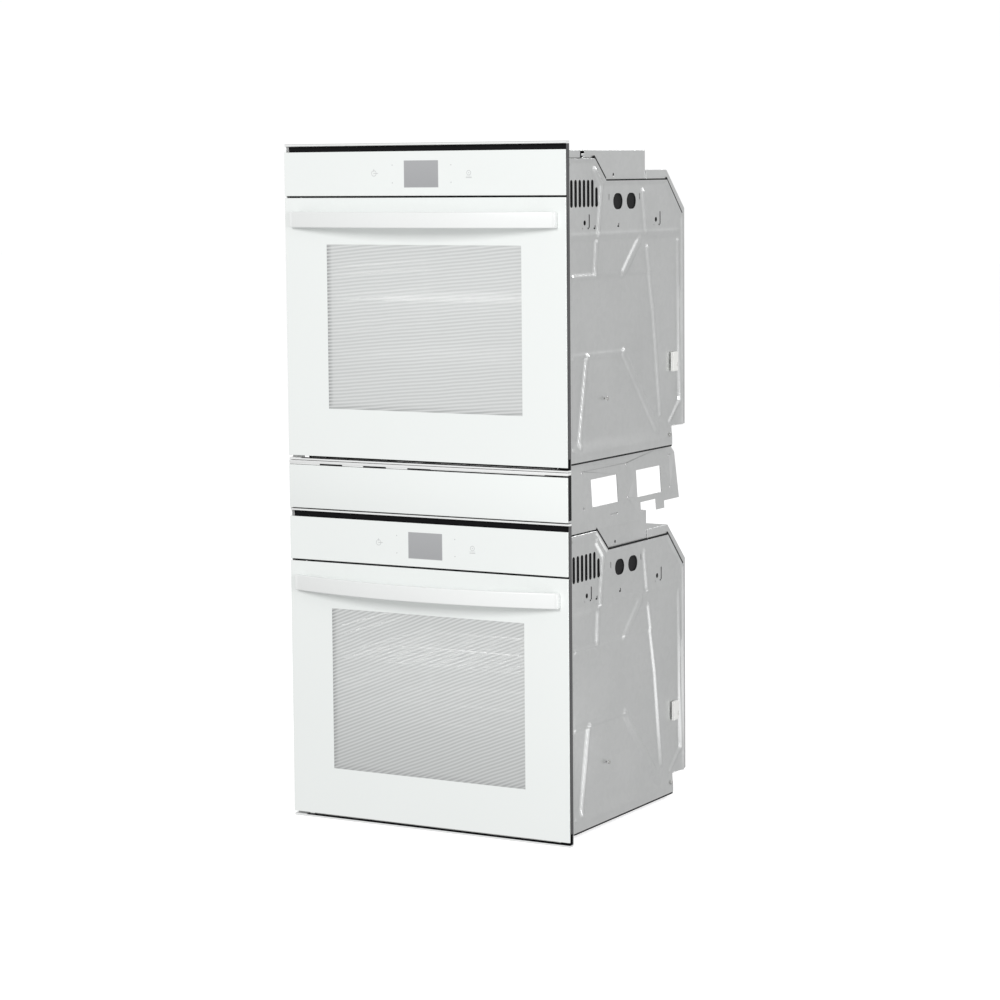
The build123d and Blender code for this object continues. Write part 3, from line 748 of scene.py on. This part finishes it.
sideValues = {
    "front": 16.0, "rear": 522.0, "top": 550.0, "outer": 271.0, "sheet": 1.0, "step": 3.0,
    "ribs": (  # depth and height points, flat width, flank width, proud, mm
        (((161, 529), (187, 503), (173, 412)), 5, 5.8, 4.0),
        (((169, 396), (165, 338)), 6, 6.0, 4.0),
        (((355, 488), (367, 414)), 4, 5.4, 3.8),
        (((376, 383), (405, 251), (430, 63)), 3, 5.4, 3.8),
        (((343, 397), (279, 338)), 10, 6, 3.2),
        (((281, 190), (417, 36)), 9, 6, 3.2),
        (((135, 188), (104, 28)), 5, 6.0, 4.6),
        (((75, 334), (75, 22)), 2, 4, 3.6),
        (((507, 393), (512, 81), (468, 43)), 2, 5, 3.4),
        (((75, 337), (160, 337)), 2, 4, 2.2),
        (((75, 192), (275, 190)), 3, 6, 1.6),
        (((75, 408), (508, 408)), 4, 8, 1.3),
    ),
    "rim": ((16, 552), (158, 552), (203, 511), (454, 511), (524, 441), (524, 36)),  # the edge that turns out
    "rimWidth": 8.0, "rimProud": 3.2, "rimFlat": 2.0,
    "fields": (  # pressed in by, then front, rear, top and foot: edge, slope width, mm
        (2.2, (66, 8), (514, 7), (412, 9), (10, 30)),
        (1.8, (70, 5), (450, 90), (338, 6), (12, 30)),
        (1.6, (74, 6), (300, 60), (192, 7), (16, 30)),
    ),
    "footBead": {"proud": 0.4, "height": 14.5, "half": 4.5, "slope": 4, "front": 72, "rear": 452, "fade": 5},
    "least": -6.0, "most": 5.2,  # the press goes no further in or out, mm
}
holeValues = {  # depths and heights, mm
    "inner": 255, "outer": 290, "middle": 272, "rodLength": 0.04,  # across, and a length in m
    "louvers": {"count": 7, "first": 71.5, "pitch": 16.2, "low": 462, "high": 512, "lastHigh": 498, "width": 10.4},
    "rounds": {"depths": (254.5, 309), "height": 471.5, "radius": 15, "stretch": 4},
    "slits": {"depths": (218.5, 343), "half": 1, "low": 474, "high": 485},
    "clips": ((122, 434), (412, 435)), "clipRadius": 4.6,
    "clipCuts": ((16, 19.6, -9, 15), (11.5, 15.9, -11.5, -8.6), (-9, -7.5, -11, -9)),
    "hooks": ((160, 425), (255, 427)), "hookCuts": ((-3, 4, -3, 0), (1, 4, 0.4, 4)),
    "screw": (206.5, 109), "screwRadius": 2.0,
    "rearStep": (480, 530, -5, 36),
    "outline": ((146.9, 560), (203, 509.5), (454, 509.5), (522, 441), (540, 441), (540, 560)),
}


def distanceToRun(y, z, start, end):
    run = np.array(end, float) - np.array(start, float)
    part = ((y - start[0]) * run[0] + (z - start[1]) * run[1]) / (run @ run)
    part = np.clip(part, 0, 1)
    return np.hypot(y - start[0] - part * run[0], z - start[1] - part * run[1])


def smoothStep(value):
    value = np.clip(value, 0, 1)
    return value * value * (3 - 2 * value)


def pressedHeight(y, z):
    # how far the sheet stands proud at a depth and height, mm
    values = sideValues
    height = np.zeros_like(y)
    for depth, front, rear, top, foot in values["fields"]:
        along = smoothStep((y - front[0]) / front[1]) * smoothStep((rear[0] - y) / rear[1])
        upright = smoothStep((top[0] - z) / top[1]) * smoothStep((z - foot[0]) / foot[1])
        height -= depth * along * upright
    for points, flat, flank, proud in values["ribs"]:
        near = np.full_like(y, 1e9)
        for start, end in zip(points, points[1:]):
            near = np.minimum(near, distanceToRun(y, z, start, end))
        height += proud * smoothStep((flat / 2 + flank - near) / flank)
    bead = values["footBead"]
    along = smoothStep((y - bead["front"]) / bead["fade"]) * smoothStep((bead["rear"] - y) / bead["fade"])
    height += bead["proud"] * smoothStep((bead["half"] - np.abs(z - bead["height"])) / bead["slope"]) * along
    rim = np.full_like(y, 1e9)
    for start, end in zip(values["rim"], values["rim"][1:]):
        rim = np.minimum(rim, distanceToRun(y, z, start, end))
    slope = values["rimWidth"] - values["rimFlat"]
    height += values["rimProud"] * smoothStep((values["rimWidth"] - rim) / slope)
    return np.clip(height, values["least"], values["most"])


def sideCutters(base):
    # the openings through the sheet and what the outline leaves out, as one mesh of separate solids
    values = holeValues
    turn = (0, math.radians(90), 0)
    pieces = []

    def cutBox(y0, y1, z0, z1):
        pieces.append(addBlock("cut", inFrame(values["inner"], y0, z0, base), inFrame(values["outer"], y1, z1, base)))

    def cutRound(y, z, radius, sides=28):
        rod = addRod("cut", inFrame(values["middle"], y, z, base), radius * mm, values["rodLength"], turn, sides)
        pieces.append(rod)
        return rod

    def cutSlot(y, z0, z1, width, sides=20):
        rod = cutRound(y, (z0 + z1) / 2, width / 2, sides)
        middle = base + (z0 + z1) / 2 * mm
        for vertex in rod.data.vertices:
            shift = (z1 - z0 - width) / 2 * mm
            vertex.co.z += shift if vertex.co.z > middle + 1e-6 else -shift

    louvers = values["louvers"]
    for number in range(louvers["count"]):
        last = number == louvers["count"] - 1
        cutSlot(louvers["first"] + number * louvers["pitch"], louvers["low"],
                louvers["lastHigh"] if last else louvers["high"], louvers["width"])
    rounds = values["rounds"]
    for y in rounds["depths"]:
        rod = cutRound(y, rounds["height"], rounds["radius"], 40)
        for vertex in rod.data.vertices:
            depth = vertex.co.y - glassFront - y * mm
            vertex.co.y += rounds["stretch"] * mm if depth > 1e-6 else -rounds["stretch"] * mm
    slits = values["slits"]
    for y in slits["depths"]:
        cutBox(y - slits["half"], y + slits["half"], slits["low"], slits["high"])
    for y, z in values["clips"]:
        cutRound(y, z, values["clipRadius"])
        for y0, y1, z0, z1 in values["clipCuts"]:
            cutBox(y + y0, y + y1, z + z0, z + z1)
    for y, z in values["hooks"]:
        for y0, y1, z0, z1 in values["hookCuts"]:
            cutBox(y + y0, y + y1, z + z0, z + z1)
    cutRound(*values["screw"], values["screwRadius"], 16)
    cutBox(*values["rearStep"])
    outline = values["outline"]
    points = [inFrame(side, y, z, base) for side in (values["inner"], values["outer"]) for y, z in outline]
    count = len(outline)
    walls = [(k, (k + 1) % count, (k + 1) % count + count, k + count) for k in range(count)]
    mesh = bpy.data.meshes.new("outlineCut")
    mesh.from_pydata(points, [], [tuple(range(count))[::-1], tuple(range(count, 2 * count)), *walls])
    corner = bpy.data.objects.new("outlineCut", mesh)
    bpy.context.scene.collection.objects.link(corner)
    work = bmesh.new()
    work.from_mesh(mesh)
    bmesh.ops.recalc_face_normals(work, faces=work.faces)
    work.to_mesh(mesh)
    work.free()
    pieces.append(corner)
    return joinPieces("sideCutters", pieces)


def makeSidePanel():
    # a fine sheet, pressed by the height rule, thickened and then pierced
    values = sideValues
    base = unitBase["lower"]
    wide = values["rear"] - values["front"]
    tall = values["top"]
    deselectAll()
    bpy.ops.mesh.primitive_grid_add(x_subdivisions=round(tall / values["step"]),
                                    y_subdivisions=round(wide / values["step"]),
                                    size=1, rotation=(0, math.radians(90), 0))
    panel = bpy.context.active_object
    panel.name = "lowerSidePanelRight"
    panel.scale = (tall * mm, wide * mm, 1)
    panel.location = inFrame(values["outer"], (values["front"] + values["rear"]) / 2, tall / 2, base)
    applyAll(panel)
    count = len(panel.data.vertices)
    places = np.empty(count * 3)
    panel.data.vertices.foreach_get("co", places)
    places = places.reshape(-1, 3)
    y = (places[:, 1] - glassFront) / mm
    z = (places[:, 2] - base) / mm
    places[:, 0] += pressedHeight(y, z) * mm
    panel.data.vertices.foreach_set("co", places.ravel())
    panel.data.update()
    if panel.data.polygons[0].normal.x < 0:
        panel.data.flip_normals()
    runModifier(panel, "SOLIDIFY", thickness=values["sheet"] * mm, offset=-1)
    cutters = sideCutters(base)
    runModifier(panel, "BOOLEAN", object=cutters, operation="DIFFERENCE", solver="EXACT")
    bpy.data.objects.remove(cutters)
    smoothByAngle(panel, 40)
    print("side panel faces", len(panel.data.polygons))
    return panel


def placeSidePanels():
    right = makeSidePanel()
    rise = unitBase["upper"] - unitBase["lower"]
    left = copyPiece(right, "lowerSidePanelLeft", mirrorX=True)
    upperRight = copyPiece(right, "upperSidePanelRight", shift=(0, 0, rise))
    upperLeft = copyPiece(left, "upperSidePanelLeft", shift=(0, 0, rise))
    for piece, node in ((right, "lower_side_panel_right"), (left, "lower_side_panel_left"),
                        (upperRight, "upper_side_panel_right"), (upperLeft, "upper_side_panel_left")):
        finishPiece(piece, "chassis", galvanised, [node])


# runs of black strip that paint the shadow in the side panel seams
seamShadowValues = {  # depth and height points, width, how far outside the edge, mm
    "runs": (
        (((20, 550), (158, 550)), 1.6, 0.8),
        (((158, 550), (203, 509.5)), 7.6, 3.8),
        (((203, 509.5), (372, 509.5)), 2.6, 1.3),
        (((377, 509.5), (454, 509.5)), 2.6, 1.3),
        (((454, 509.5), (522, 441)), 7.6, 3.7),
        (((522, 441), (522, 37)), 7.4, 3.6),
        (((478, 0), (70, 0)), 3.2, 1.6),
    ),
    "inner": 268.2, "outer": 270.9,
}


def makeSeamShadows(unit):
    # black strips in the seams behind the side panels, a painted shadow in the gaps
    values = seamShadowValues
    base = unitBase[unit]
    pieces = []
    for ((y0, z0), (y1, z1)), wide, out in values["runs"]:
        length = math.hypot(y1 - y0, z1 - z0)
        outY, outZ = (z0 - z1) / length * out, (y1 - y0) / length * out
        for side in (1, -1):
            strip = addBlock("strip", Vector((0, -length / 2 * mm, -wide / 2 * mm)),
                             Vector(((values["outer"] - values["inner"]) * mm, length / 2 * mm, wide / 2 * mm)))
            strip.data.transform(Matrix.Rotation(math.atan2(z1 - z0, y1 - y0), 4, "X"))
            inner = values["inner"] if side > 0 else -values["outer"]
            strip.data.transform(Matrix.Translation(inFrame(inner, (y0 + y1) / 2 + outY, (z0 + z1) / 2 + outZ, base)))
            pieces.append(strip)
    seamShadows = joinPieces(unit + "SeamShadowStrips", pieces)
    # painted shadow: black strips stand where the seams are only in shade
    finishPiece(seamShadows, "chassis", blackPlasticAndShadow)


# places of the black sheets put in as painted shadow behind holes and gaps
shadowScreenValues = {"places": ((62, 178, 456, 516), (232, 332, 450, 493), (108, 146, 420, 452), (400, 436, 420, 452),
                           (152, 168, 419, 433), (248, 263, 421, 435)), "inner": 268.3, "outer": 268.9,
                "strip": (-289.0, 289.0, 3.6, 5.6, 482.6, 486.0),
                "sill": (-262.0, 269.0, 15.1, 16.3, -4.5, -0.3), "round": 0.15}


def makeShadowScreens(unit):
    # black sheets behind the cooling holes, and strips behind the gaps over and under the door: painted shadow where
    # the openings show only shade
    values = shadowScreenValues
    base = unitBase[unit]
    pieces = []
    for y0, y1, z0, z1 in values["places"]:
        for side in (1, -1):
            a, b = sorted((side * values["inner"], side * values["outer"]))
            pieces.append(addBlock("screen", inFrame(a, y0, z0, base), inFrame(b, y1, z1, base)))
    x0, x1, y0, y1, z0, z1 = values["strip"]
    pieces.append(addBlock("strip", inFrame(x0, y0, z0, base), inFrame(x1, y1, z1, base)))
    x0, x1, y0, y1, z0, z1 = values["sill"]
    pieces.append(addBlock("sill", inFrame(x0, y0, z0, base), inFrame(x1, y1, z1, base)))
    shadowScreens = joinPieces(unit + "ShadowScreens", pieces)
    roundEdges(shadowScreens, values["round"] * mm, 2)
    # painted shadow: the black sheets and strips stand in for the shade inside the openings
    finishPiece(shadowScreens, "chassis", blackPlasticAndShadow)


midValues = {
    "low": 583.2, "high": 664.5, "lipLow": 667.7, "lipHigh": 672.7, "half": 297.5,
    "bridges": ((-297.5, -230, 667.7), (-180, -134, 667.7), (-84, -38, 667.7), (12, 250, 666.6)),  # from, to, foot
    "glass": 3.2, "back": 15.0, "round": 0.4,  # depths behind the glass front, and edge radius, mm
    "tray": {"front": 3.3, "rise": 3.0, "lap": 1.0, "wall": 1.5, "deep": 9.0},
    "lipFront": 0.8, "bridgeFront": 1.4, "bridgeBack": 3.0, "bridgeGap": 0.5, "bridgeLap": 1.0,
}


def makeMidPanel():
    # a glass strip over a black tray, and a pale lip that small bridges join to it
    values = midValues
    base = unitBase["lower"]
    half = values["half"]
    slab = addBlock("midPanelFront", inFrame(-half, 0, values["low"], base),
                    inFrame(half, values["glass"], values["high"], base))
    roundEdges(slab, glassValues["edgeRound"] * mm, glassValues["edgeSteps"], 60)
    smoothByAngle(slab, 50)
    finishPiece(slab, "chassis", plainWhiteGlass, ["mid_panel"])
    box = values["tray"]
    tray = addBlock("midPanelTray", inFrame(-half, box["front"], values["low"] + box["rise"], base),
                    inFrame(half, values["back"], values["lipLow"] + box["lap"], base))
    selectInEdit(tray, "faces", lambda face: face.normal.y > 0.9)
    bpy.ops.mesh.inset(thickness=box["wall"] * mm, depth=-box["deep"] * mm)
    leaveEdit()
    roundEdges(tray, values["round"] * mm, 2)
    finishPiece(tray, "chassis", darkTrim)
    pieces = [addBlock("lip", inFrame(-half, values["lipFront"], values["lipLow"], base),
                       inFrame(half, values["back"], values["lipHigh"], base))]
    for start, end, low in values["bridges"]:
        foot = values["high"] + values["bridgeGap"] if low == values["lipLow"] else low
        pieces.append(addBlock("bridge", inFrame(start, values["bridgeFront"], foot, base),
                               inFrame(end, values["bridgeBack"], values["lipLow"] + values["bridgeLap"], base)))
    for piece in pieces:
        roundEdges(piece, values["round"] * mm, 2, 60)
    lip = joinPieces("midPanelLip", pieces)
    smoothByAngle(lip, 50)
    finishPiece(lip, "chassis", lipMetal)


stageValues = {"floor": (0.93, 0.93, 0.93), "floorGlow": 0.5, "backdrop": 1.02, "ambient": 0.55,
               "lights": (("keyLight", (0.2, -6.5, 3.6), 2.2, 200.0), ("sideLight", (4.1, -2.1, 1.3), 1.8, 62.0),
                          ("topLight", (1.3, 4.6, 3.4), 1.8, 60.0), ("highCard", (3.1, 1.5, 2.5), 1.4, 6.0),
                          ("floorCard", (1.2, -0.15, 0.02), 1.1, 3.4)),
               "aim": (0, 0, 0.64), "floorSize": 60,
               "ovenLamp": 2.2, "ovenLampSize": (0.40, 0.30), "ovenLampPlace": (0, 245, 398)}
cameraValues = {"place": (2.7272, -4.7878, 1.2250), "yaw": 29.4814, "pitch": -5.7497, "roll": -0.5026,
                "lens": 104.418, "rise": -0.04}


def makeStage():
    deselectAll()
    bpy.ops.mesh.primitive_plane_add(size=stageValues["floorSize"], location=(0, 0, 0))
    floor = bpy.context.active_object
    floor.name = "studioFloor"
    material = newMaterial("paleFloor", Base_Color=stageValues["floor"], Roughness=0.9,
                           Emission_Color=(1.0, 1.0, 1.0), Emission_Strength=stageValues["floorGlow"])[0]
    floor.data.materials.append(material)
    floor.visible_diffuse = False
    floor.visible_glossy = False
    world = bpy.data.worlds.new("softWorld")
    bpy.context.scene.world = world
    world.use_nodes = True
    tree = world.node_tree
    seen = addNode(tree, "ShaderNodeLightPath").outputs["Is Camera Ray"]
    gain = mathNode(tree, "MULTIPLY", seen, stageValues["backdrop"] - stageValues["ambient"])
    back = tree.nodes["Background"]
    back.inputs["Color"].default_value = (1, 1, 1, 1)
    tree.links.new(mathNode(tree, "ADD", gain, stageValues["ambient"]), back.inputs["Strength"])
    for name, place, size, power in stageValues["lights"]:
        light = bpy.data.lights.new(name, "AREA")
        light.size = size
        light.energy = power
        lamp = bpy.data.objects.new(name, light)
        bpy.context.scene.collection.objects.link(lamp)
        lamp.location = place
        if name == "floorCard":
            lamp.rotation_euler = (math.pi, 0, 0)  # lies on the floor and shines up
        else:
            aim = Vector(stageValues["aim"]) - Vector(place)
            lamp.rotation_euler = aim.to_track_quat("-Z", "Y").to_euler()
        lamp.visible_camera = False
    for unit in units:
        light = bpy.data.lights.new(unit + "OvenLamp", "AREA")
        light.shape = "RECTANGLE"
        light.size, light.size_y = stageValues["ovenLampSize"]
        light.energy = stageValues["ovenLamp"]
        lamp = bpy.data.objects.new(unit + "OvenLamp", light)
        bpy.context.scene.collection.objects.link(lamp)
        lamp.location = inFrame(*stageValues["ovenLampPlace"], unitBase[unit])


def makeCamera():
    values = cameraValues
    yaw, pitch, roll = (math.radians(values[key]) for key in ("yaw", "pitch", "roll"))
    forward = Vector((-math.sin(yaw) * math.cos(pitch), math.cos(yaw) * math.cos(pitch), math.sin(pitch)))
    level = Vector((math.cos(yaw), math.sin(yaw), 0))
    above = level.cross(forward)
    right = level * math.cos(roll) + above * math.sin(roll)
    up = right.cross(forward)
    camera = bpy.data.objects.new("studioCamera", bpy.data.cameras.new("studioCamera"))
    bpy.context.scene.collection.objects.link(camera)
    turn = Matrix((right, up, -forward)).transposed().to_4x4()
    camera.matrix_world = Matrix.Translation(values["place"]) @ turn
    camera.data.lens = values["lens"]
    camera.data.shift_y = values["rise"]
    camera.data.sensor_width = 36
    bpy.context.scene.camera = camera
    bpy.context.scene.view_settings.view_transform = "Standard"


print("finishes on the frame")
dressFrame()
for unit in units:
    print("fronts of the", unit, "unit")
    makeFronts(unit)
    makeSymbols(unit)
    makeHandle(unit)
    makeSeamShadows(unit)
    makeShadowScreens(unit)
print("side panels")
placeSidePanels()
print("middle panel")
makeMidPanel()
print("stage")
makeStage()
print("camera")
makeCamera()
